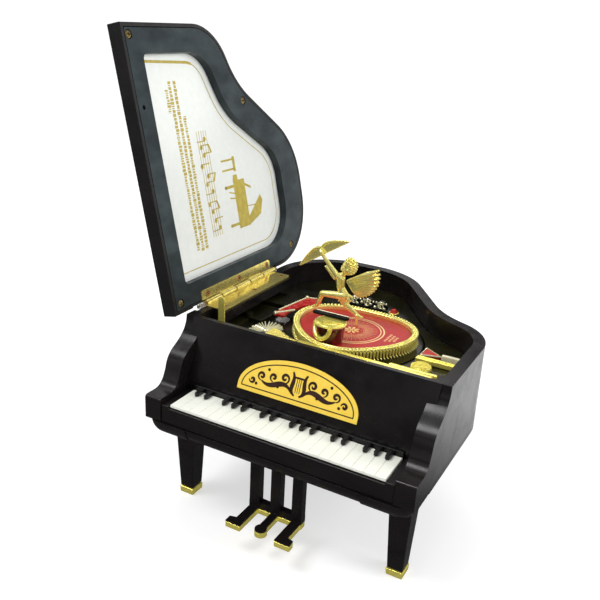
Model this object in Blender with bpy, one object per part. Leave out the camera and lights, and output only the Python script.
"""Miniature grand piano that is a wind-up musical box.

Metres, +Z up, treble side at +X, keyboard towards -Y. Pieces are first placed from the middle of
the keyboard's front edge on the floor; the last step slides the whole piano so that the origin is
the middle of its footprint box, with the lid open.
"""

import math

import bmesh
import bpy
from mathutils import Matrix, Vector

MM = 0.001
GAP = 0.3 * MM

# Case, seen from above
HALF_WIDTH = 75 * MM
TAIL_Y = 177 * MM
LID_TAIL_Y = 179 * MM
LID_FRONT_Y = 27.4 * MM
WALL = 6.4 * MM

# Heights above the floor
FOOT_CAP_TOP = 3.8 * MM
BASE_BOTTOM = 46 * MM
TRAY_FLOOR_TOP = 47.6 * MM
FLANGE_BOTTOM = 52.2 * MM
SEAM = 54.4 * MM
ARM_TOP = 67.6 * MM
CASE_TOP = 101 * MM
LID_BOTTOM = 101.5 * MM
LID_THICKNESS = 8.7 * MM
DECK_BOTTOM = 86.2 * MM
DECK_TOP = 88 * MM

# Keyboard
WHITE_COUNT = 21
KEY_PITCH = 5.71 * MM
KEY_TOP = 65.4 * MM
KEY_FRONT_Y = 1.8 * MM
KEY_BACK_Y = 22 * MM
BLACK_FRONT_Y = 15.8 * MM
FALLBOARD_FOOT = (24 * MM, 71.6 * MM)
FALLBOARD_HEAD_Y = 35.7 * MM
FALLBOARD_BACK_Y = 38.3 * MM
ARM_WIDTH = 9.9 * MM

# Lid hinge
HINGE_X = -75.5 * MM
HINGE_Z = 101.3 * MM
HINGE_FRONT_Y = 52 * MM
HINGE_LENGTH = 73 * MM
BARREL_RADIUS = 1.9 * MM
LEAF = 0.8 * MM
LID_SCREW_X = 4.9 * MM
LID_OPEN = math.radians(102.4)

# Turning stage
STAGE_X = 0.5 * MM
STAGE_Y = 87 * MM
STAGE_TOP = 95 * MM
OPENING_RADIUS = 41.3 * MM
ROD_DISTANCE = 46 * MM
ROD_ANGLES = (math.radians(-35), math.radians(145))

# Movement, under the deck on the bass side
BARREL_X = -56 * MM
BARREL_Y = 106 * MM
STAGE_TEETH = 100
PINION_TEETH = 10
IDLER_TEETH = 14
GREAT_WHEEL_TEETH = 20
MODULE = 0.8 * MM
TOOTH_DEPTH = 0.8 * MM
MESH_PLAY = 0.3 * MM
WHEEL_BOTTOM = 50.5 * MM
WHEEL_TOP = 52 * MM
CYLINDER_X = -58.5 * MM
CYLINDER_Z = 60 * MM
CYLINDER_RADIUS = 6 * MM
PLATE_BOTTOM = 48 * MM
PLATE_TOP = 50 * MM
FLY_X = -61.5 * MM
FLY_Y = 58 * MM


# ---------------------------------------------------------------- looks

def look(name, colour, roughness, metallic=0.0):
    material = bpy.data.materials.new(name)
    material.use_nodes = True
    shader = material.node_tree.nodes["Principled BSDF"]
    shader.inputs["Base Color"].default_value = (*colour, 1)
    shader.inputs["Roughness"].default_value = roughness
    shader.inputs["Metallic"].default_value = metallic
    material.diffuse_color = (*colour, 1)
    return material


# ---------------------------------------------------------------- outlines

def arc(centre, radius, start, sweep, steps):
    """Points on an arc, both ends included."""
    points = []
    for i in range(steps + 1):
        angle = start + sweep * i / steps
        points.append(Vector((centre[0] + radius * math.cos(angle), centre[1] + radius * math.sin(angle))))
    return points


def circle(centre, radius, steps=32):
    return arc(centre, radius, 0, math.tau, steps)[:-1]


def rounded_outline(corners, step=math.radians(9)):
    """Closed outline from (x, y, radius) corners, with an arc at each corner that has a radius."""
    points = []
    for i, (x, y, radius) in enumerate(corners):
        here = Vector((x, y))
        if not radius:
            points.append(here)
            continue
        to_before = (Vector(corners[i - 1][:2]) - here).normalized()
        to_after = (Vector(corners[(i + 1) % len(corners)][:2]) - here).normalized()
        half = to_before.angle(to_after) / 2
        centre = here + (to_before + to_after).normalized() * radius / math.sin(half)
        first = here + to_before * radius / math.tan(half) - centre
        last = here + to_after * radius / math.tan(half) - centre
        start = math.atan2(first.y, first.x)
        sweep = (math.atan2(last.y, last.x) - start + math.pi) % math.tau - math.pi
        points += arc(centre, radius, start, sweep, max(2, round(abs(sweep) / step)))
    return points


def inset(points, distance):
    """The outline moved inwards by a distance; its points run anticlockwise."""
    moved = []
    for i, point in enumerate(points):
        edge_in = (point - points[i - 1]).normalized()
        edge_out = (points[(i + 1) % len(points)] - point).normalized()
        normal_in = Vector((-edge_in.y, edge_in.x))
        normal_out = Vector((-edge_out.y, edge_out.x))
        moved.append(point + (normal_in + normal_out) * distance / (1 + normal_in.dot(normal_out)))
    return moved


def case_outline(front_y, tail_y):
    """Grand piano plan: straight bass side, bent treble side and a rounded tail."""
    return rounded_outline([
        (-HALF_WIDTH, front_y, 0),
        (HALF_WIDTH, front_y, 0),
        (HALF_WIDTH, 104.7 * MM, 30 * MM),
        (41.4 * MM, 120.2 * MM, 50 * MM),
        (0.3 * MM, tail_y, 45 * MM),
        (-HALF_WIDTH, tail_y, 40 * MM),
    ])


def window_outline():
    """Opening of the lid's frame, over the card."""
    return rounded_outline([
        (-61 * MM, 40.5 * MM, 3 * MM),
        (60 * MM, 40.5 * MM, 3 * MM),
        (60 * MM, 92 * MM, 20 * MM),
        (25.5 * MM, 107.5 * MM, 45 * MM),
        (-5 * MM, 155 * MM, 26 * MM),
        (-61 * MM, 155 * MM, 24 * MM),
    ])


def heart_outline(shrink=0.0, steps=60):
    """Soft heart round the stage's axis, its point towards -Y."""
    points = []
    for i in range(steps):
        turn = math.tau * i / steps
        radius = (33.8 - 0.6 * math.cos(turn) - 2.1 * math.cos(2 * turn) + 2.1 * math.cos(3 * turn)) * MM
        points.append(Vector((radius * math.sin(turn), -radius * math.cos(turn))))
    return inset(points, shrink)


def gear_outline(teeth, turn=0.0):
    """Pointed teeth of the shared module, with a tip at the given angle."""
    tip = (teeth * MODULE + TOOTH_DEPTH) / 2
    points = []
    for i in range(teeth):
        for share, radius in ((0, tip), (0.5, tip - TOOTH_DEPTH)):
            angle = turn + math.tau * (i + share) / teeth
            points.append(Vector((radius * math.cos(angle), radius * math.sin(angle))))
    return points


def centre_distance(teeth, other_teeth):
    return (teeth + other_teeth) * MODULE / 2 + MESH_PLAY


def meshing_turn(place, turn, teeth, other_place, other_teeth):
    """Angle of a tip on the second gear that puts its teeth between those of the first."""
    toward = math.atan2(other_place[1] - place[1], other_place[0] - place[0])
    ahead = (toward - turn) * teeth / math.tau
    return toward + math.pi - (0.5 - ahead) * math.tau / other_teeth


def rectangle(low, high):
    return [Vector(low), Vector((high[0], low[1])), Vector(high), Vector((low[0], high[1]))]


def bezier(start, start_handle, end_handle, end, steps):
    """Points of a curve after its start."""
    points = []
    for i in range(1, steps + 1):
        t = i / steps
        s = 1 - t
        points.append(Vector([
            s ** 3 * a + 3 * s * s * t * b + 3 * s * t * t * c + t ** 3 * d
            for a, b, c, d in zip(start, start_handle, end_handle, end)
        ]))
    return points


# ---------------------------------------------------------------- solids

def clean(mesh, change=None):
    """Merges the mesh's doubled points, turns its faces outwards and applies a matrix."""
    work = bmesh.new()
    work.from_mesh(mesh)
    bmesh.ops.remove_doubles(work, verts=work.verts, dist=0.001 * MM)
    if change:
        bmesh.ops.transform(work, matrix=change, verts=work.verts)
    bmesh.ops.recalc_face_normals(work, faces=work.faces)
    work.to_mesh(mesh)
    work.free()
    return mesh


def prism(loops, bottom, top, change=None):
    """Solid between two heights. The first loop is its edge, the others are holes."""
    curve = bpy.data.curves.new("outline", "CURVE")
    curve.dimensions = "2D"
    curve.fill_mode = "BOTH"
    curve.extrude = (top - bottom) / 2
    for loop in loops:
        spline = curve.splines.new("POLY")
        spline.points.add(len(loop) - 1)
        for point, place in zip(spline.points, loop):
            point.co = (place[0], place[1], 0, 1)
        spline.use_cyclic_u = True
    flat = bpy.data.objects.new("outline", curve)
    mesh = bpy.data.meshes.new_from_object(flat)
    bpy.data.objects.remove(flat)
    bpy.data.curves.remove(curve)
    lift = Matrix.Translation((0, 0, (top + bottom) / 2))
    return clean(mesh, (change or Matrix()) @ lift)


def prism_x(loop, left, right):
    """Solid from a (y, z) outline, along X."""
    turn = Matrix(((0, 0, 1, 0), (1, 0, 0, 0), (0, 1, 0, 0), (0, 0, 0, 1)))
    return prism([loop], left, right, turn)


def prism_y(loop, front, back):
    """Solid from an (x, z) outline, along Y."""
    turn = Matrix(((1, 0, 0, 0), (0, 0, -1, 0), (0, 1, 0, 0), (0, 0, 0, 1)))
    return prism([loop], -back, -front, turn)


def box(low, high):
    return prism([rectangle(low[:2], high[:2])], low[2], high[2])


def millimetres(*values):
    return tuple(value * MM for value in values)


def rod(centre, radius, bottom, top, steps=20):
    return prism([circle(centre, radius, steps)], bottom, top)


def rod_y(x, z, radius, front, back, steps=20):
    return prism_y(circle((x, z), radius, steps), front, back)


def turned(profile, steps=24, change=None):
    """Solid of revolution round Z from (radius, height) points that start and end on the axis."""
    work = bmesh.new()
    points = [work.verts.new((radius, 0, height)) for radius, height in profile]
    edges = [work.edges.new(pair) for pair in zip(points, points[1:])]
    bmesh.ops.spin(work, geom=points + edges, cent=(0, 0, 0), axis=(0, 0, 1), angle=math.tau, steps=steps)
    mesh = bpy.data.meshes.new("turned")
    work.to_mesh(mesh)
    work.free()
    return clean(mesh, change)


def limb(start, start_radius, end, end_radius, sides=8):
    """Round bar with ball ends, as a limb has."""
    work = bmesh.new()
    for place, radius in ((start, start_radius), (end, end_radius)):
        bmesh.ops.create_uvsphere(
            work, u_segments=sides, v_segments=5, radius=radius, matrix=Matrix.Translation(place)
        )
    bmesh.ops.delete(work, geom=work.edges[:], context="EDGES_FACES")
    hull = bmesh.ops.convex_hull(work, input=work.verts)
    loose = [item for item in hull["geom_interior"] if isinstance(item, bmesh.types.BMVert)]
    bmesh.ops.delete(work, geom=loose, context="VERTS")
    mesh = bpy.data.meshes.new("limb")
    work.to_mesh(mesh)
    work.free()
    return clean(mesh)


def tapered(bottom_centre, bottom_size, top_centre, top_size):
    """Four-sided taper between two rectangles given as (x, y, z) and (width, depth)."""
    work = bmesh.new()
    rings = []
    for centre, size in ((bottom_centre, bottom_size), (top_centre, top_size)):
        ring = []
        for sx, sy in ((-1, -1), (1, -1), (1, 1), (-1, 1)):
            ring.append(work.verts.new((
                centre[0] + sx * size[0] / 2,
                centre[1] + sy * size[1] / 2,
                centre[2],
            )))
        work.faces.new(ring)
        rings.append(ring)
    for i in range(4):
        j = (i + 1) % 4
        work.faces.new((rings[0][i], rings[0][j], rings[1][j], rings[1][i]))
    mesh = bpy.data.meshes.new("taper")
    work.to_mesh(mesh)
    work.free()
    return clean(mesh)


def wire(points, radius, resolution=1):
    curve = bpy.data.curves.new("wire", "CURVE")
    curve.dimensions = "3D"
    curve.bevel_depth = radius
    curve.bevel_resolution = resolution
    curve.use_fill_caps = True
    spline = curve.splines.new("POLY")
    spline.points.add(len(points) - 1)
    for point, place in zip(spline.points, points):
        point.co = (*place, 1)
    bent = bpy.data.objects.new("wire", curve)
    mesh = bpy.data.meshes.new_from_object(bent)
    bpy.data.objects.remove(bent)
    bpy.data.curves.remove(curve)
    return clean(mesh)


def combine(meshes, cuts=()):
    """One mesh: the union of the meshes, less the cuts."""
    whole = bpy.data.objects.new("whole", meshes[0])
    bpy.context.scene.collection.objects.link(whole)
    tools = []
    steps = [("UNION", mesh) for mesh in meshes[1:]]
    steps += [("DIFFERENCE", mesh) for mesh in cuts]
    for operation, mesh in steps:
        tool = bpy.data.objects.new("tool", mesh)
        bpy.context.scene.collection.objects.link(tool)
        tools.append(tool)
        modifier = whole.modifiers.new("combine", "BOOLEAN")
        modifier.operation = operation
        modifier.solver = "EXACT"
        modifier.object = tool
    bpy.context.view_layer.update()
    graph = bpy.context.evaluated_depsgraph_get()
    result = bpy.data.meshes.new_from_object(whole.evaluated_get(graph))
    for helper in tools + [whole]:
        bpy.data.objects.remove(helper)
    return result


def moved(mesh, offset):
    mesh.transform(Matrix.Translation(offset))
    return mesh


def piece(name, mesh, material, parent, place=(0, 0, 0), turn=(0, 0, 0)):
    """A named sub-part of the piano."""
    mesh.name = name
    mesh.materials.clear()
    mesh.materials.append(material)
    obj = bpy.data.objects.new(name, mesh)
    bpy.context.scene.collection.objects.link(obj)
    obj.parent = parent
    obj.location = place
    obj.rotation_euler = turn
    mesh.shade_smooth()
    mesh.set_sharp_from_angle(angle=math.radians(35))
    return obj


def axis_empty(name, place, parent, turn=(0, 0, 0)):
    empty = bpy.data.objects.new(name, None)
    bpy.context.scene.collection.objects.link(empty)
    empty.parent = parent
    empty.location = place
    empty.rotation_euler = turn
    return empty


# ---------------------------------------------------------------- case

def arm_profile():
    """Side of a keyboard cheek as (y, z): flat arm, cove, shoulder and second cove to the case top."""
    top = (FALLBOARD_HEAD_Y, CASE_TOP)
    arm_end = millimetres(8.5, 67.6)
    cove_top = millimetres(17.5, 78.5)
    shoulder = millimetres(25.5, 87)
    profile = [Vector((0, SEAM + GAP)), Vector((0, ARM_TOP - 1.2 * MM)), Vector((1.2 * MM, ARM_TOP))]
    profile += [Vector(arm_end)]
    profile += bezier(arm_end, millimetres(14, 68), millimetres(16, 73.5), cove_top, 5)
    profile += bezier(cove_top, millimetres(19, 83), millimetres(22, 85), shoulder, 4)
    profile += bezier(shoulder, millimetres(31, 90), millimetres(35.5, 94), top, 5)
    back = FALLBOARD_BACK_Y - 1 * MM
    profile += [Vector((back, CASE_TOP)), Vector((back, SEAM + GAP))]
    return profile


def build_upper_case(root, black):
    bottom = SEAM + GAP
    rim = combine(
        [prism([case_outline(36.5 * MM, TAIL_Y)], bottom, CASE_TOP)],
        [prism([inset(case_outline(20 * MM, TAIL_Y), WALL)], SEAM - 1 * MM, CASE_TOP + 1 * MM)],
    )
    solids = [rim]
    for side in (-1, 1):
        edges = sorted((side * HALF_WIDTH, side * (HALF_WIDTH - ARM_WIDTH)))
        solids.append(prism_x(arm_profile(), edges[0], edges[1]))
    foot_y, foot_z = FALLBOARD_FOOT
    fallboard = [
        Vector((foot_y, bottom)), Vector((FALLBOARD_BACK_Y, bottom)),
        Vector((FALLBOARD_BACK_Y, CASE_TOP)), Vector((FALLBOARD_HEAD_Y, CASE_TOP)),
        Vector((foot_y, foot_z)),
    ]
    half_inside = HALF_WIDTH - ARM_WIDTH / 2
    solids.append(prism_x(fallboard, -half_inside, half_inside))
    hinge_back = HINGE_FRONT_Y + HINGE_LENGTH
    solids.append(box(
        (-70 * MM, HINGE_FRONT_Y - 1 * MM, 94 * MM),
        (-60.6 * MM, hinge_back + 1 * MM, CASE_TOP),
    ))
    hollow = prism([rectangle(millimetres(-60, 32), millimetres(60, 38.4))], SEAM - 1 * MM, 84 * MM)
    leaf_recess = box(
        (-73.6 * MM, HINGE_FRONT_Y - GAP, CASE_TOP - 1 * MM),
        (-60 * MM, hinge_back + GAP, CASE_TOP + 2 * MM),
    )
    barrel_groove = hinge_groove()
    cuts = [hollow, leaf_recess, barrel_groove]
    for y in hinge_screw_rows():
        cuts.append(rod((-65.5 * MM, y), 1.1 * MM, 95 * MM, CASE_TOP + 1 * MM, 12))
    piece("upper_case", combine(solids, cuts), black, root)


def end_block(side):
    """Prouder end of the front beam, with its lower front and outer edges rounded into a ball corner."""
    radius = 9 * MM
    front_y, back_y = -0.8 * MM, 34 * MM
    steps = 6
    points = []
    for i in range(steps + 1):
        down = radius * math.sin(math.pi / 2 * i / steps)
        level = radius * math.cos(math.pi / 2 * i / steps)
        z = SEAM - down
        points += [(49 * MM, front_y + radius - level, z), (HALF_WIDTH - radius + level, back_y, z)]
        for j in range(steps + 1):
            turn = math.pi / 2 * j / steps
            x = HALF_WIDTH - radius + level * math.sin(turn)
            points.append((x, front_y + radius - level * math.cos(turn), z))
    points += [(49 * MM, back_y, SEAM), (49 * MM, back_y, SEAM - radius)]
    work = bmesh.new()
    for x, y, z in points:
        work.verts.new((side * x, y, z))
    bmesh.ops.remove_doubles(work, verts=work.verts, dist=0.01 * MM)
    hull = bmesh.ops.convex_hull(work, input=work.verts)
    inside = [item for item in hull["geom_interior"] if isinstance(item, bmesh.types.BMVert)]
    bmesh.ops.delete(work, geom=inside, context="VERTS")
    mesh = bpy.data.meshes.new("end_block")
    work.to_mesh(mesh)
    work.free()
    return clean(mesh, Matrix())


def build_base_tray(root, black):
    """Lower case: thin flange on the seam, thick rounded front beam and a pan for the movement."""
    radius = 8 * MM
    beam = [Vector((34 * MM, BASE_BOTTOM)), Vector((34 * MM, SEAM)), Vector((0, SEAM))]
    beam += arc((radius, BASE_BOTTOM + radius), radius, math.pi, math.pi / 2, 6)
    solids = [prism_x(beam, -HALF_WIDTH + radius, HALF_WIDTH - radius), end_block(-1), end_block(1)]
    solids.append(prism([case_outline(20 * MM, TAIL_Y)], FLANGE_BOTTOM, SEAM))
    solids.append(prism([inset(case_outline(20 * MM, TAIL_Y), 7.5 * MM)], BASE_BOTTOM, SEAM))
    pan = inset(case_outline(35 * MM, TAIL_Y), 9.1 * MM)
    cuts = [
        prism([pan], TRAY_FLOOR_TOP, SEAM + 1 * MM),
        rod((BARREL_X, BARREL_Y), 2.4 * MM, BASE_BOTTOM - 1 * MM, 49 * MM, 16),
    ]
    tray = combine(solids, cuts)
    bearing = combine(
        [rod(pinion_place(), 3.4 * MM, TRAY_FLOOR_TOP - 0.5 * MM, 49.6 * MM, 16)],
        [rod(pinion_place(), 1.8 * MM, TRAY_FLOOR_TOP, 51 * MM, 16)],
    )
    posts = [rod(place, 1.5 * MM, TRAY_FLOOR_TOP - 0.5 * MM, DECK_BOTTOM - GAP, 12) for place in rod_places()]
    piece("base_tray", combine([tray, bearing] + posts), black, root)


def build_legs(root, black, gold):
    places = {
        "front_left": (-63 * MM, 23.4 * MM),
        "front_right": (63 * MM, 23.4 * MM),
        "rear": (-25 * MM, 150 * MM),
    }
    for name, (x, y) in places.items():
        top = BASE_BOTTOM - (0.9 * MM if name != "rear" else GAP)
        leg = tapered((x, y, FOOT_CAP_TOP + GAP), millimetres(8.2, 8.8), (x, y, top), millimetres(12, 12))
        piece("leg_" + name, leg, black, root)
        cap = tapered((x, y, 0), millimetres(8.6, 9.2), (x, y, FOOT_CAP_TOP), millimetres(9, 9.6))
        piece("foot_cap_" + name, cap, gold, root)


def build_keyboard(root, black, ivory, key_black):
    half = WHITE_COUNT * KEY_PITCH / 2
    rail_half = HALF_WIDTH - ARM_WIDTH - GAP
    back_y = FALLBOARD_FOOT[0] - GAP
    bottom = SEAM + GAP
    bed_top = KEY_TOP - 2 * MM
    solids = [
        box((-rail_half, 0.5 * MM, bottom), (rail_half, 3 * MM, bed_top)),
        box((-rail_half, 0.5 * MM, bed_top - 2 * MM), (rail_half, back_y, bed_top)),
    ]
    for side in (-1, 1):
        edges = sorted((side * rail_half, side * (half + 0.4 * MM)))
        solids.append(box((edges[0], 0.5 * MM, bottom), (edges[1], back_y, bed_top + 1.2 * MM)))
    piece("key_bed", combine(solids), black, root)

    profile = [Vector((-half, bed_top + GAP)), Vector((half, bed_top + GAP)), Vector((half, KEY_TOP))]
    groove = 0.18 * MM
    for i in range(WHITE_COUNT - 1, 0, -1):
        x = -half + i * KEY_PITCH
        profile += [Vector((x + groove, KEY_TOP)), Vector((x, KEY_TOP - 0.6 * MM)), Vector((x - groove, KEY_TOP))]
    profile.append(Vector((-half, KEY_TOP)))
    piece("white_keys", prism_y(profile, KEY_FRONT_Y, KEY_BACK_Y), ivory, root)

    bottom = KEY_TOP + GAP
    solids = [box((-half, KEY_BACK_Y + GAP, bed_top + GAP), (half, back_y, KEY_TOP + 2.4 * MM))]
    for octave in range(3):
        for step in (1, 2, 4, 5, 6):
            x = -half + (octave * 7 + step) * KEY_PITCH
            side = [
                Vector((BLACK_FRONT_Y, bottom)), Vector((KEY_BACK_Y + 1 * MM, bottom)),
                Vector((KEY_BACK_Y + 1 * MM, bottom + 2 * MM)),
                Vector((BLACK_FRONT_Y + 1 * MM, bottom + 2 * MM)),
            ]
            solids.append(prism_x(side, x - 1.2 * MM, x + 1.2 * MM))
    piece("black_keys", combine(solids), key_black, root)


def build_nameplate(root, gold):
    """Half-oval plate on the sloping fallboard."""
    half = 34.2 * MM
    height = 21 * MM
    shoulder = 3 * MM
    outline = [Vector((-half, 0)), Vector((half, 0))]
    for i in range(17):
        angle = math.pi * i / 16
        outline.append(Vector((half * math.cos(angle), shoulder + (height - shoulder) * math.sin(angle))))
    rise = CASE_TOP - FALLBOARD_FOOT[1]
    run = FALLBOARD_HEAD_Y - FALLBOARD_FOOT[0]
    lean = math.atan2(run, rise)
    start = 1.9 * MM
    place = (
        0.3 * MM,
        FALLBOARD_FOOT[0] + start * math.sin(lean),
        FALLBOARD_FOOT[1] + start * math.cos(lean),
    )
    plate = prism([outline], GAP, GAP + 0.8 * MM)
    piece("nameplate", plate, gold, root, place, (math.pi / 2 - lean, 0, 0))


def build_pedals(root, black, gold):
    """Three bars down from the front beam to a cross bar, with gold pedals under black tops."""
    bar_pitch = 12.4 * MM
    front, back = 9.4 * MM, 13.6 * MM
    toe_y = -8 * MM
    cap_bottom, cap_top = 16.9 * MM, 17.6 * MM
    plate_bottom, plate_top = 13.7 * MM, 16.6 * MM

    def pedal_outlines(arm, grow):
        """Plan of the two side pedals with turned-out toes and of the round-ended middle one."""
        outlines = []
        for side in (-1, 1):
            x = side * bar_pitch
            toe = [(x - side * arm, front + 2 * MM), (x - side * arm, toe_y), (x + side * 6 * MM, toe_y),
                   (x + side * 6 * MM, toe_y + 4 * MM), (x + side * arm, toe_y + 5 * MM),
                   (x + side * arm, front + 2 * MM)]
            outlines.append([Vector(point) for point in toe])
        outlines.append(rectangle((-arm * 0.8, toe_y + 5 * MM), (arm * 0.8, front + 2 * MM)))
        outlines.append(circle((0, toe_y + 4 * MM), 3.1 * MM + grow, 14))
        return outlines

    arm = 2.5 * MM
    bars = [box((-bar_pitch - 3 * MM, front, cap_bottom), (bar_pitch + 3 * MM, back, 20.6 * MM))]
    bars.append(box((-bar_pitch - 3.4 * MM, front, 43 * MM), (bar_pitch + 3.4 * MM, back, BASE_BOTTOM - GAP)))
    for i in (-1, 0, 1):
        x = i * bar_pitch
        bars.append(box((x - 2.9 * MM, front, cap_bottom + 1 * MM), (x + 2.9 * MM, back, 44 * MM)))
    for outline in pedal_outlines(arm, 0):
        bars.append(prism([outline], cap_bottom, cap_top))
    piece("pedal_lyre", combine(bars), black, root)
    plates = [box((-bar_pitch - 2.9 * MM, front, plate_bottom), (bar_pitch + 2.9 * MM, back, plate_top))]
    for outline in pedal_outlines(arm, 0.1 * MM):
        plates.append(prism([outline], plate_bottom, plate_top))
    piece("pedal_plate", combine(plates), gold, root)


# ---------------------------------------------------------------- lid and hinge

def hinge_screw_rows():
    return [HINGE_FRONT_Y + share * HINGE_LENGTH for share in (0.08, 0.52, 0.95)]


def screw(head_radius, head_height, shank_radius, length):
    """Round-head screw, head down at z = 0 and shank up +Z."""
    return turned([
        (0, 0), (head_radius * 0.75, 0), (head_radius, head_height * 0.5), (head_radius, head_height),
        (shank_radius, head_height), (shank_radius, length), (0, length),
    ], 12)


def hinge_groove():
    """Room round the hinge's axis, cut from the case and from the lid."""
    return rod_y(HINGE_X, HINGE_Z, BARREL_RADIUS + 0.4 * MM,
                 HINGE_FRONT_Y - 9 * MM, HINGE_FRONT_Y + HINGE_LENGTH + 6 * MM)


def hinge_leaf(knuckles, inner_edge, leaf_bottom):
    """Leaf with rolled knuckles, placed from the hinge's axis; knuckles lists their (front, back)."""
    leaf_back = HINGE_FRONT_Y + HINGE_LENGTH
    leaf_top = leaf_bottom + LEAF
    solids = [box((2.3 * MM, HINGE_FRONT_Y, leaf_bottom), (inner_edge, leaf_back, leaf_top))]
    for front, back in knuckles:
        solids.append(rod_y(0, 0, BARREL_RADIUS, front, back, 16))
        solids.append(box((0.5 * MM, front, leaf_bottom), (3 * MM, min(back, leaf_back - 0.5 * MM), leaf_top)))
    bore = rod_y(0, 0, 1.1 * MM, HINGE_FRONT_Y, leaf_back + 10 * MM, 12)
    return solids, [bore]


def knuckle_spans():
    """Five knuckles along the hinge, with a running gap between neighbours."""
    start = HINGE_FRONT_Y + 2 * MM
    pitch = (HINGE_LENGTH + 2 * MM) / 5
    return [(start + i * pitch, start + (i + 1) * pitch - GAP) for i in range(5)]


def build_hinge(root, lid_axis, brass, steel):
    spans = knuckle_spans()
    place = (HINGE_X, 0, HINGE_Z)
    solids, cuts = hinge_leaf(spans[0::2], 14 * MM, -1 * MM)
    for y in hinge_screw_rows():
        cuts.append(rod((10 * MM, y), 1.9 * MM, -2 * MM, 1 * MM, 14))
    piece("hinge_case_leaf", combine(solids, cuts), brass, root, place)
    solids, cuts = hinge_leaf(spans[1::2], 7.6 * MM, 0.2 * MM)
    for y in hinge_screw_rows():
        cuts.append(rod((LID_SCREW_X, y), 1.9 * MM, -1 * MM, 2 * MM, 14))
    piece("hinge_lid_leaf", combine(solids, cuts), brass, lid_axis)
    pin = rod_y(0, 0, 0.8 * MM, HINGE_FRONT_Y - 5.5 * MM, spans[-1][1] + 1.5 * MM, 12)
    piece("hinge_pin", pin, steel, root, place)
    coil = [(1.5 * MM, HINGE_FRONT_Y - 8 * MM, 0)]
    turns, steps = 3, 12
    for i in range(turns * steps + 1):
        angle = math.tau * i / steps
        coil.append((1.5 * MM * math.cos(angle), HINGE_FRONT_Y - 4.8 * MM + 1.7 * MM * i / steps,
                     1.5 * MM * math.sin(angle)))
    piece("hinge_spring", wire(coil, 0.25 * MM), steel, root, place)
    for i, y in enumerate(hinge_screw_rows(), 1):
        low = screw(1.6 * MM, 0.7 * MM, 0.8 * MM, 5 * MM)
        piece(f"hinge_case_screw_{i}", low, steel, root, (-65.5 * MM, y, CASE_TOP + 0.1 * MM), (math.pi, 0, 0))
        high = screw(1.6 * MM, 0.7 * MM, 0.8 * MM, 3.6 * MM)
        piece(f"hinge_lid_screw_{i}", high, steel, lid_axis, (LID_SCREW_X, y, 0.2 * MM))


def build_lid(lid_axis, black, slate, card_white, brass):
    """Lid parts as they lie when it is shut, placed from the hinge's axis."""
    shift = Vector((-HINGE_X, 0, -HINGE_Z))
    outer = case_outline(LID_FRONT_Y, LID_TAIL_Y)
    top = LID_BOTTOM + LID_THICKNESS
    pocket = inset(outer, 2.2 * MM)
    barrel_groove = hinge_groove()
    leaf_recess = box(
        (-76 * MM, HINGE_FRONT_Y - GAP, LID_BOTTOM - 2 * MM),
        (-67.6 * MM, HINGE_FRONT_Y + HINGE_LENGTH + GAP, LID_BOTTOM + LEAF + GAP),
    )
    shell = combine(
        [prism([outer], LID_BOTTOM, top)],
        [prism([pocket], LID_BOTTOM - 1 * MM, top - 2.5 * MM), leaf_recess, barrel_groove],
    )
    piece("lid_shell", moved(shell, shift), black, lid_axis)

    frame_top = LID_BOTTOM + 4.7 * MM
    frame_edge = inset(outer, 2.2 * MM + GAP)
    cuts = [leaf_recess.copy(), barrel_groove.copy()]
    screws = {"front_right": (69.2, 32.6), "back_right": (31.3, 123.8), "back_left": (-65, 155),
              "front_left": (-69.5, 33.8)}
    for x, y in screws.values():
        place = (x * MM, y * MM)
        cuts.append(rod(place, 2.4 * MM, LID_BOTTOM - 1 * MM, LID_BOTTOM + 1.4 * MM, 16))
        cuts.append(rod(place, 1.2 * MM, LID_BOTTOM - 1 * MM, frame_top + 1 * MM, 12))
    cuts.append(rod(millimetres(33.9, 33.7), 1.2 * MM, LID_BOTTOM - 1 * MM, frame_top + 1 * MM, 12))
    for y in hinge_screw_rows():
        cuts.append(rod((HINGE_X + LID_SCREW_X, y), 1.1 * MM, LID_BOTTOM, frame_top + 1 * MM, 12))
    frame = combine([prism([frame_edge, window_outline()], LID_BOTTOM, frame_top)], cuts)
    piece("lid_frame", moved(frame, shift), slate, lid_axis)

    card = prism([inset(window_outline(), -2 * MM)], frame_top + GAP, frame_top + GAP + 0.9 * MM)
    piece("lid_card", moved(card, shift), card_white, lid_axis)
    for name, (x, y) in screws.items():
        fixing = screw(2.1 * MM, 1 * MM, 0.9 * MM, 4.2 * MM)
        place = Vector((x * MM, y * MM, LID_BOTTOM + 0.1 * MM)) + shift
        piece("lid_screw_" + name, fixing, brass, lid_axis, place)


# ---------------------------------------------------------------- deck

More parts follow.
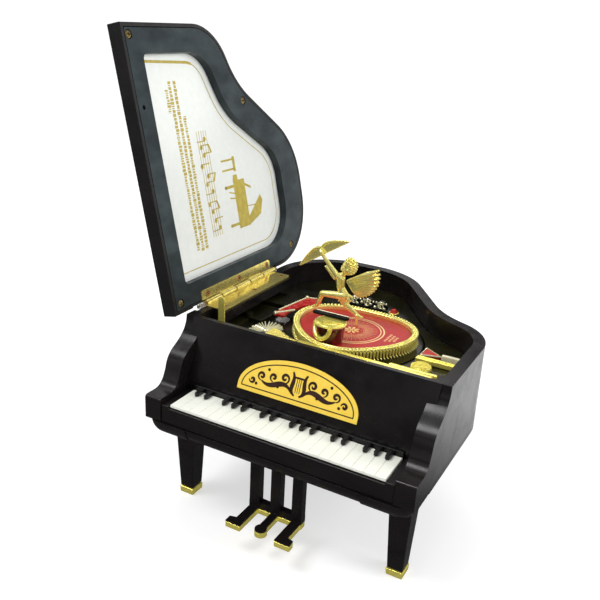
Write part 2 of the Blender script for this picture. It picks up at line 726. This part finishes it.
def build_deck(root, olive, gold, red, cream):
    inner = inset(case_outline(20 * MM, TAIL_Y), WALL + GAP)
    edge = [Vector((p.x, max(p.y, FALLBOARD_BACK_Y + GAP))) for p in inner]
    opening = circle((STAGE_X, STAGE_Y), OPENING_RADIUS, 56)
    solids = [prism([edge], DECK_BOTTOM, DECK_TOP)]
    for low, high in (
        ((-67, 56, 87), (-56.5, 70, 91)),
        ((-67, 73, 87), (-50, 96, 90.4)),
        ((-67, 99, 87), (-48, 117, 91.5)),
        ((-60, 120, 87), (-40, 134, 90)),
    ):
        solids.append(box(millimetres(*low), millimetres(*high)))
    solids.append(rod(millimetres(-61, 76), 2.6 * MM, 88 * MM, 92.4 * MM, 16))
    cuts = [
        prism([opening], 80 * MM, 93 * MM),
        rod(pinion_place(), 5 * MM, 80 * MM, 93 * MM, 16),
        box(millimetres(-64.5, 49.1, 80), millimetres(-59.3, 50.9, 93)),
    ]
    for place in rod_places():
        cuts.append(rod(place, 1.9 * MM, 80 * MM, 87 * MM, 12))
    piece("deck", combine(solids, cuts), olive, root)

    top = DECK_TOP + GAP
    wall_front = FALLBOARD_BACK_Y + GAP + 0.4 * MM
    trim = [
        box((-34 * MM, wall_front, top), millimetres(65, 45.4, 97.4)),
        box(millimetres(-12, 45, 95.4), millimetres(62, 48.6, 97.4)),
        box(millimetres(38, 49.8, 95), millimetres(63, 51.8, 97)),
        box(millimetres(43, 43, 88.3), millimetres(66, 81, 89.1)),
        box(millimetres(42.4, 77, 88.3), millimetres(66, 81, 91)),
    ]
    for x in (40, 50, 60):
        trim.append(box(millimetres(x, 48, 95.6), millimetres(x + 1.5, 50, 96.6)))
    grille = [(-34, 44), (-10, 44), (-10, 49.3), (-20, 52.3), (-30.4, 58.5), (-34, 60)]
    trim.append(prism([[Vector(millimetres(*p)) for p in grille]], 93.5 * MM, 95 * MM))
    trim.append(moved(turned([
        (0, 0), (5.5 * MM, 0), (5.5 * MM, 1 * MM), (4 * MM, 2.6 * MM), (0, 3.4 * MM)], 24),
        (48.5 * MM, 69.5 * MM, top + 0.4 * MM)))
    piece("deck_trim", combine(trim), gold, root)

    rays = [Vector((2 * MM * math.cos(a), 2 * MM * math.sin(a))) for a in (-2.6, -1.6, -0.5, 0.3)]
    count = 34
    for i in range(count + 1):
        angle = math.radians(45 + 165 * i / count)
        reach = (11.4 - 3 * math.cos(angle) ** 2) * (1 if i % 2 == 0 else 0.55)
        rays.append(Vector((reach * MM * math.cos(angle), reach * MM * math.sin(angle))))
    piece("sunburst", prism([rays], top, top + 3.5 * MM), gold, root, millimetres(-40.5, 62.6, 0))
    outline = ((-46.5, 80.5), (-40.2, 80.8), (-40.6, 92), (-38, 101), (-31.5, 111.5), (-34, 117), (-42.8, 114.6),
               (-46.9, 87))
    ribbon_left = [Vector(millimetres(*p)) for p in outline]
    piece("ribbon_left", prism([ribbon_left], 91.8 * MM, 94 * MM), red, root)
    ribbon_right = [Vector(millimetres(*p)) for p in ((43, 83), (53.2, 86.4), (43, 93))]
    piece("ribbon_right", prism([ribbon_right], top, top + 2 * MM), red, root)
    piece("cream_bar_right", box(millimetres(53.8, 85.4, 88.3), millimetres(66, 87.6, 91.6)), cream, root)
    scroll = combine([
        box(millimetres(-25, 135, 88.3), millimetres(2, 137, 92.6)),
        rod_y(-20 * MM, 91 * MM, 3 * MM, 134.6 * MM, 137.4 * MM, 16),
        rod_y(-11 * MM, 91 * MM, 3 * MM, 134.6 * MM, 137.4 * MM, 16),
        rod_y(-2 * MM, 91 * MM, 3 * MM, 134.6 * MM, 137.4 * MM, 16),
    ], [box(millimetres(-30, 130, 80), millimetres(10, 140, 88.3))])
    piece("scroll_panel", scroll, cream, root)
    gem = turned([(0, 0), (2.6 * MM, 0), (2.6 * MM, 1.2 * MM), (1.4 * MM, 2.6 * MM), (0, 2.8 * MM)], 12)
    piece("gem", gem, red, root, (7 * MM, 134 * MM, top))


def build_stop_lever(root, gold):
    """Upright strip that the lid pushes down; its foot stops the air fly."""
    side = [
        Vector(millimetres(49.6, 77)), Vector(millimetres(53.6, 77)), Vector(millimetres(53.6, 77.8)),
        Vector(millimetres(50.4, 77.8)), Vector(millimetres(50.4, 109.5)), Vector(millimetres(49.6, 109.5)),
    ]
    lever = prism_x(side, -2.1 * MM, 2.1 * MM)
    piece("stop_lever", lever, gold, axis_empty("stop_lever_slide", (-61.9 * MM, 0, 0), root))


# ---------------------------------------------------------------- stage

def rod_places():
    return [
        (STAGE_X + ROD_DISTANCE * math.cos(angle), STAGE_Y + ROD_DISTANCE * math.sin(angle))
        for angle in ROD_ANGLES
    ]


def build_lift(root, grey):
    """Plate that carries the turning stage up and down the base tray's two posts."""
    bottom, top = 83.6 * MM, 85.6 * MM
    bar = prism([rectangle((-ROD_DISTANCE, -4 * MM), (ROD_DISTANCE, 4 * MM))], bottom, top,
                Matrix.Rotation(ROD_ANGLES[0], 4, "Z"))
    solids = [bar, rod((0, 0), 16 * MM, bottom, top, 28), rod((0, 0), 3.1 * MM, bottom, 90.1 * MM, 16)]
    cuts = []
    for x, y in rod_places():
        place = (x - STAGE_X, y - STAGE_Y)
        solids.append(rod(place, 4 * MM, 82.6 * MM, top, 16))
        cuts.append(rod(place, 1.9 * MM, 80 * MM, 88 * MM, 12))
    lift = axis_empty("lift_slide", (STAGE_X, STAGE_Y, 0), root)
    piece("lift_plate", combine(solids, cuts), grey, lift)
    return axis_empty("stage_axis", (0, 0, 0), lift)


def build_stage(stage, gold, red):
    drum = combine(
        [
            prism([gear_outline(STAGE_TEETH)], 86.6 * MM, 88.1 * MM),
            prism([heart_outline(0.8 * MM)], 87 * MM, 91.6 * MM),
        ],
        [prism([heart_outline(3 * MM)], 80 * MM, 90.4 * MM)],
    )
    hub = combine([rod((0, 0), 5.5 * MM, 86.6 * MM, 91 * MM)], [rod((0, 0), 3.4 * MM, 80 * MM, 90.4 * MM, 16)])
    piece("stage_drum", combine([drum, hub]), gold, stage)
    piece("stage_rim", prism([heart_outline(), heart_outline(4 * MM)], 91.9 * MM, STAGE_TOP), gold, stage)
    piece("stage_disc", prism([heart_outline(4.3 * MM)], 91.9 * MM, 92.5 * MM), red, stage)


def build_cherub(stage, gold):
    """Kneeling winged archer; x to its back, z up, from the peg under its rear foot."""
    peg = (-1.2 * MM, 8.6 * MM, 92.8 * MM)

    def bar(start, start_radius, end, end_radius):
        a, b = millimetres(*start), millimetres(*end)
        return limb(a, start_radius * MM, b, end_radius * MM)

    body = combine([
        bar((-11.2, 0, 19.5), 2.4, (-12, 0, 25.5), 2.9),
        bar((-8.8, 0, 15.8), 2.6, (-11.2, 0, 19.5), 2.3),
        bar((-9.2, -1, 15.4), 2.3, (-21.8, -1.6, 14.2), 1.7),
        bar((-21.8, -1.6, 14.2), 1.7, (-24.8, -1.6, 6.2), 1.1),
        bar((-24.8, -1.6, 6.2), 1.1, (-27, -1.6, 5), 0.9),
        bar((-8.8, 1, 15.4), 2.3, (-9.6, 1.4, 10.6), 1.8),
        bar((-9.6, 1.4, 10.6), 1.8, (0, 0.6, 5), 1.2),
        bar((0, 0.6, 5), 1.2, (3, 0.4, 4.4), 0.9),
        bar((0, 0, 5), 0.9, (0, 0, 0.9), 0.8),
        bar((-13, -1.8, 26.6), 1.7, (-24.6, -1.2, 38.2), 1.1),
        bar((-12.6, 1.8, 26), 1.5, (-16.4, 2.4, 23.6), 1.2),
        bar((-16.4, 2.4, 23.6), 1.2, (-22, 1.6, 29.4), 0.9),
        bar((-10.8, 0, 27.5), 1.5, (-8.6, 0, 32.5), 1.4),
        bar((-7.2, 0, 33), 4.6, (-7, 0, 33.4), 4.6),
    ])
    piece("cherub_figure", body, gold, stage, peg)

    feathers = [Vector(millimetres(0.4, -1.4)), Vector(millimetres(0, 1))]
    count = 11
    for i in range(count):
        angle = math.radians(29 - 76 * i / (count - 1))
        reach = 20 - 9.5 * (i / (count - 1)) ** 1.5
        for turn, share in ((0.045, 0.86), (0, 1)):
            feathers.append(Vector((
                reach * share * math.cos(angle + turn) * MM,
                reach * share * math.sin(angle + turn) * MM,
            )))
    feathers.reverse()
    near = prism_y(feathers, -1.9 * MM, -1 * MM)
    far = prism_y([Vector((p.x, p.y)) for p in feathers], 1 * MM, 1.9 * MM)
    bridge = box(millimetres(0.3, -1.5, -0.4), millimetres(2, 1.5, 0.8))
    wings = combine([near, far, bridge])
    piece("cherub_wings", wings, gold, stage, Vector(peg) + Vector(millimetres(-7.4, 0, 24.6)))

    left, right = Vector(millimetres(-38.5, 27.3)), Vector(millimetres(-8.4, 46.8))
    span = right - left
    out = Vector((-span.y, span.x)).normalized()
    bow = []
    for i in range(17):
        share = i / 16
        bulge = (5.8 * math.sin(math.pi * share) - 1.3 * math.sin(math.pi * share) ** 16) * MM
        bow.append(right - span * share + out * (bulge + 0.5 * MM))
    bow += [left - out * 0.5 * MM, right - out * 0.5 * MM]
    piece("cherub_bow", prism_y(bow, 0.4 * MM, 1.8 * MM), gold, stage, peg)


def build_pot(stage, black, gold, wine):
    """Small dark red pot with a gold oval on top, a gold band in front and a black brim behind."""
    place = (-3.6 * MM, -20.4 * MM, 92.8 * MM)
    cup = turned([(0, 0), (7.2 * MM, 0), (8.2 * MM, 9.4 * MM), (0, 9.4 * MM)], 28)
    piece("pot", cup, wine, stage, place)
    top = [Vector((8.9 * MM * math.cos(math.tau * i / 28), 8.2 * MM * math.sin(math.tau * i / 28))) for i in range(28)]
    piece("pot_top", prism([top], 9.7 * MM, 11.4 * MM), gold, stage, place)
    brim = [Vector((11.6 * MM * math.cos(math.pi * i / 18), 5.4 * MM * math.sin(math.pi * i / 18) - 2 * MM))
            for i in range(19)]
    piece("pot_brim", prism([brim], 11.7 * MM, 13.2 * MM), black, stage, Vector(place) + Vector((0, 5 * MM, 0)))


# ---------------------------------------------------------------- movement

def pinion_place():
    return (STAGE_X - centre_distance(STAGE_TEETH, PINION_TEETH), STAGE_Y)


def idler_place():
    """Where the idler meets both the great wheel and the long pinion, on the tail side."""
    barrel = Vector((BARREL_X, BARREL_Y))
    span = Vector(pinion_place()) - barrel
    from_barrel = centre_distance(GREAT_WHEEL_TEETH, IDLER_TEETH)
    from_pinion = centre_distance(PINION_TEETH, IDLER_TEETH)
    along = (from_barrel ** 2 - from_pinion ** 2 + span.length ** 2) / (2 * span.length)
    aside = math.sqrt(from_barrel ** 2 - along ** 2)
    direction = span.normalized()
    return barrel + direction * along + Vector((-direction.y, direction.x)) * aside


def build_movement(root, brass, steel, black, wing_metal):
    idler = idler_place()
    pinion_turn = meshing_turn((STAGE_X, STAGE_Y), 0, STAGE_TEETH, pinion_place(), PINION_TEETH)
    idler_turn = meshing_turn(pinion_place(), pinion_turn, PINION_TEETH, idler, IDLER_TEETH)
    wheel_turn = meshing_turn(idler, idler_turn, IDLER_TEETH, (BARREL_X, BARREL_Y), GREAT_WHEEL_TEETH)
    solids = [
        box((-65.5 * MM, 52 * MM, PLATE_BOTTOM), (-49 * MM, 118.5 * MM, PLATE_TOP)),
        box((-50 * MM, 93 * MM, PLATE_BOTTOM), (-43.6 * MM, 99.6 * MM, PLATE_TOP)),
        box(millimetres(-51.2, 67.6, 49), millimetres(-49, 88.8, 59.2)),
        box(millimetres(-60.6, 64.6, 49), millimetres(-56.4, 66.2, 63)),
        box(millimetres(-60.6, 94.2, 49), millimetres(-56.4, 95.8, 63)),
        rod(idler, 0.9 * MM, 49 * MM, 53 * MM, 12),
    ]
    cuts = [
        rod((BARREL_X, BARREL_Y), 2 * MM, 45 * MM, 55 * MM, 16),
        rod_y(CYLINDER_X, CYLINDER_Z, 1.3 * MM, 60 * MM, 100 * MM, 12),
    ]
    piece("movement_plate", combine(solids, cuts), brass, root)

    barrel = axis_empty("barrel_axis", (BARREL_X, BARREL_Y, 0), root)
    drum = combine(
        [
            prism([gear_outline(GREAT_WHEEL_TEETH, wheel_turn)], WHEEL_BOTTOM, WHEEL_TOP),
            rod((0, 0), 7.4 * MM, WHEEL_TOP - 0.4 * MM, 63 * MM, 28),
        ],
        [rod((0, 0), 1.9 * MM, 45 * MM, 70 * MM, 16)],
    )
    piece("spring_barrel", drum, steel, barrel)

    key_axis = axis_empty("key_axis", (BARREL_X, BARREL_Y, 0), root)
    wing = rounded_outline([
        (-11 * MM, 27 * MM, 5 * MM), (11 * MM, 27 * MM, 5 * MM),
        (11 * MM, 39 * MM, 5 * MM), (-11 * MM, 39 * MM, 5 * MM),
    ], math.radians(22))
    winding_key = combine([
        rod((0, 0), 1.5 * MM, 36 * MM, 65 * MM, 16),
        rod((0, 0), 2.8 * MM, 32 * MM, 43 * MM, 16),
        prism_y(wing, -1.1 * MM, 1.1 * MM),
    ])
    piece("winding_key", winding_key, wing_metal, key_axis)

    idler_outline = gear_outline(IDLER_TEETH, idler_turn)
    wheel = prism([idler_outline, circle((0, 0), 1.2 * MM, 12)], WHEEL_BOTTOM, WHEEL_TOP)
    piece("idler_gear", wheel, brass, axis_empty("idler_axis", (*idler, 0), root))
    pinion = combine([
        prism([gear_outline(PINION_TEETH, pinion_turn)], WHEEL_BOTTOM, 88.1 * MM),
        rod((0, 0), 1.5 * MM, TRAY_FLOOR_TOP + GAP, 52 * MM, 12),
    ])
    piece("long_pinion", pinion, steel, axis_empty("pinion_axis", (*pinion_place(), 0), root))

    cylinder = combine([
        rod_y(0, 0, CYLINDER_RADIUS, 68.4 * MM, 90.6 * MM, 28),
        rod_y(0, 0, 1 * MM, 64 * MM, 96.4 * MM, 12),
        prism_y(gear_outline(16), 91.4 * MM, 93 * MM),
        rod_y(0, 0, 2.4 * MM, 90 * MM, 92 * MM, 12),
    ])
    piece("tune_cylinder", cylinder, brass, axis_empty("cylinder_axis", (CYLINDER_X, 0, CYLINDER_Z), root))

    reeds = 18
    root_x, slot_x, tip_x = -49 * MM, -51 * MM, -52.2 * MM
    front, pitch = 68 * MM, 23 * MM / reeds
    comb = [Vector((root_x, front)), Vector((root_x, front + reeds * pitch))]
    for i in range(reeds - 1, -1, -1):
        y = front + i * pitch
        comb += [Vector((tip_x, y + pitch * 0.88)), Vector((tip_x, y + pitch * 0.12))]
        if i:
            comb += [Vector((slot_x, y + pitch * 0.12)), Vector((slot_x, y - pitch * 0.12))]
    piece("comb", prism([comb], 59.5 * MM, 60.4 * MM), steel, root)

    frame = combine(
        [
            box(millimetres(-65, 54, 50.3), millimetres(-53, 63.6, 52)),
            box(millimetres(-65, 54, 51), millimetres(-53, 55, 66)),
            box(millimetres(-65, 62.4, 51), millimetres(-53, 63.6, 66)),
            box(millimetres(-65, 54, 64.6), millimetres(-53, 63.6, 66)),
        ],
        [rod((FLY_X, FLY_Y), 1.3 * MM, 50 * MM, 70 * MM, 14)],
    )
    piece("governor_frame", frame, black, root)
    fly = combine([
        rod((0, 0), 1 * MM, 50.8 * MM, 68 * MM, 12),
        rod((0, 0), 3.4 * MM, 66.4 * MM, 67 * MM, 16),
        box((-3.2 * MM, -0.3 * MM, 66.5 * MM), (3.2 * MM, 0.3 * MM, 69.4 * MM)),
    ])
    piece("air_fly", fly, brass, axis_empty("fly_axis", (FLY_X, FLY_Y, 0), root))


# ---------------------------------------------------------------- whole piano

def centre_on_footprint(root):
    """Slides the piano so that the origin is the middle of its footprint box, on the floor."""
    bpy.context.view_layer.update()
    graph = bpy.context.evaluated_depsgraph_get()
    low = Vector((1, 1, 1))
    high = -low
    for obj in bpy.context.view_layer.objects:
        if obj.type != "MESH":
            continue
        seen = obj.evaluated_get(graph)
        for vertex in seen.data.vertices:
            place = seen.matrix_world @ vertex.co
            low = Vector(map(min, low, place))
            high = Vector(map(max, high, place))
    root.location = (-(low.x + high.x) / 2, -(low.y + high.y) / 2, -low.z)


def main():
    for obj in list(bpy.data.objects):
        bpy.data.objects.remove(obj)

    case_black = look("case_black", (0.012, 0.010, 0.010), 0.18)
    lid_black = look("lid_black", (0.012, 0.012, 0.014), 0.2)
    slate = look("frame_slate", (0.035, 0.05, 0.055), 0.35)
    card_white = look("card_white", (0.8, 0.82, 0.85), 0.1)
    ivory = look("ivory", (0.86, 0.84, 0.76), 0.3)
    key_black = look("key_black", (0.01, 0.01, 0.01), 0.3)
    plate_gold = look("plate_gold", (0.83, 0.58, 0.1), 0.35, 0.6)
    chrome_gold = look("chrome_gold", (0.9, 0.75, 0.25), 0.15, 1.0)
    brass = look("brass", (0.72, 0.55, 0.2), 0.25, 1.0)
    steel = look("steel", (0.6, 0.6, 0.6), 0.3, 1.0)
    deck_olive = look("deck_olive", (0.02, 0.02, 0.012), 0.2)
    ribbon_red = look("ribbon_red", (0.45, 0.02, 0.02), 0.25)
    label_red = look("label_red", (0.55, 0.06, 0.05), 0.4)
    cream = look("cream", (0.85, 0.8, 0.6), 0.35)
    wine = look("wine", (0.1, 0.01, 0.01), 0.15)
    grey = look("grey_plastic", (0.25, 0.25, 0.25), 0.5)

    root = axis_empty("piano_frame", (0, 0, 0), None)
    build_upper_case(root, case_black)
    build_base_tray(root, case_black)
    build_legs(root, case_black, chrome_gold)
    build_keyboard(root, case_black, ivory, key_black)
    build_nameplate(root, plate_gold)
    build_pedals(root, case_black, chrome_gold)
    lid_axis = axis_empty("lid_axis", (HINGE_X, 0, HINGE_Z), root, (0, -LID_OPEN, 0))
    build_hinge(root, lid_axis, brass, steel)
    build_lid(lid_axis, lid_black, slate, card_white, brass)
    build_deck(root, deck_olive, chrome_gold, ribbon_red, cream)
    build_stop_lever(root, chrome_gold)
    stage = build_lift(root, grey)
    build_stage(stage, chrome_gold, label_red)
    build_cherub(stage, chrome_gold)
    build_pot(stage, key_black, chrome_gold, wine)
    build_movement(root, brass, steel, key_black, brass)
    centre_on_footprint(root)


main()
